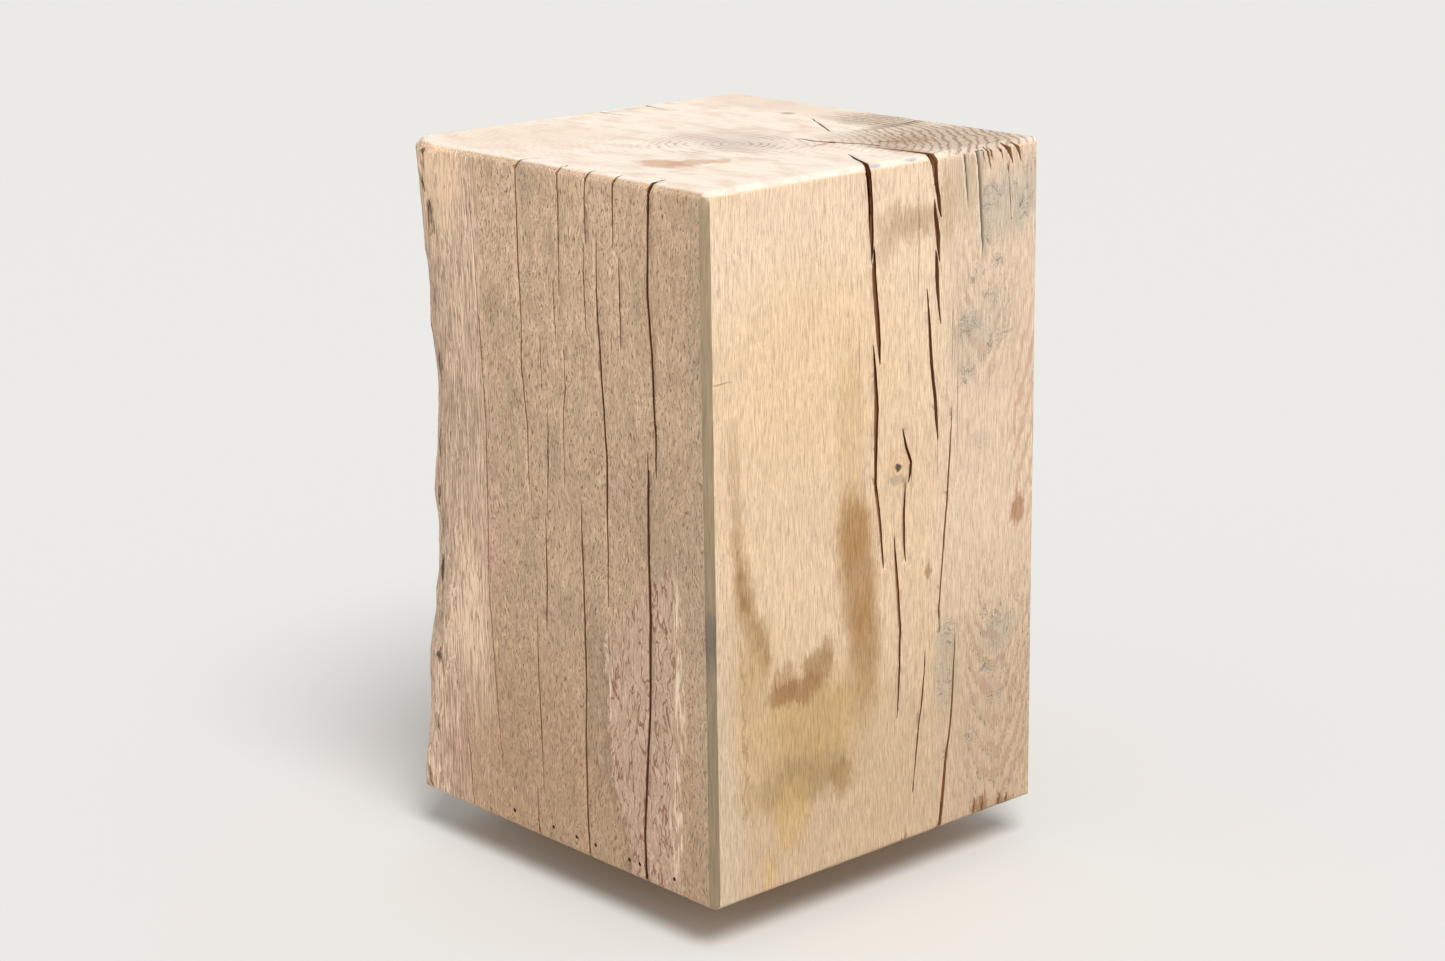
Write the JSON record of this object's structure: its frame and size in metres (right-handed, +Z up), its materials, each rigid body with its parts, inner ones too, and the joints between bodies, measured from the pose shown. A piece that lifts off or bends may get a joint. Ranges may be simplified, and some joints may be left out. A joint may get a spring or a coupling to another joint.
{
  "type": "wood block stool",
  "caption": "Squared solid oak block, stood on end as a stool or side table, with a waney corner, drying checks and a recessed foot.",
  "frame": {"origin": "on the floor, at the middle of the block's box", "axes": "+Z up along the grain, the checked face looks to -Y, the knotty face looks to +X"},
  "size_m": [0.3, 0.29, 0.48],
  "materials": {
    "oak": "sawn and sanded oak left bare, with end grain on top, drying checks, brown stains and a waney corner"
  },
  "bodies": {
    "root": {"wood_block": "oak"}
  },
  "joints": []
}
